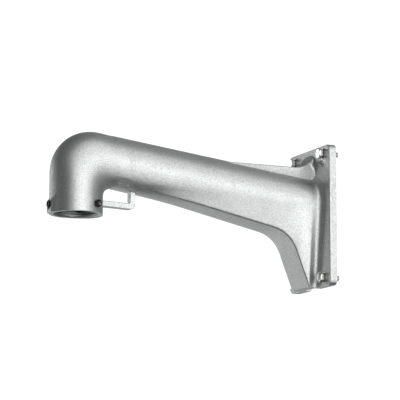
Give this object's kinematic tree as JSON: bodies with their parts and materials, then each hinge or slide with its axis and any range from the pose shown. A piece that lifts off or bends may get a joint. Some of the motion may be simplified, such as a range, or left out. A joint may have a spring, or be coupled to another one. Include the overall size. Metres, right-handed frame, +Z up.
{
  "type": "camera bracket",
  "caption": "Cast gooseneck wall bracket with a hollow arm, a gusseted wall plate and a threaded collar that carries a pendant camera.",
  "frame": {"origin": "centre of the four wall bolts, on the wall plane at the back of the plate", "axes": "+X away from the wall along the arm, +Y across the plate, +Z up"},
  "size_m": [0.3235, 0.097, 0.154],
  "materials": {
    "casting": "satin",
    "fasteners": "satin",
    "set_screws": "black"
  },
  "bodies": {
    "root": {"bracket_casting": "casting", "wall_bolt_1": "fasteners", "wall_bolt_2": "fasteners", "wall_bolt_3": "fasteners", "wall_bolt_4": "fasteners", "spring_washer_1": "fasteners", "spring_washer_2": "fasteners", "spring_washer_3": "fasteners", "spring_washer_4": "fasteners", "flat_washer_1": "fasteners", "flat_washer_2": "fasteners", "flat_washer_3": "fasteners", "flat_washer_4": "fasteners", "set_screw_1": "set_screws", "set_screw_2": "set_screws", "set_screw_3": "set_screws"}
  },
  "joints": []
}
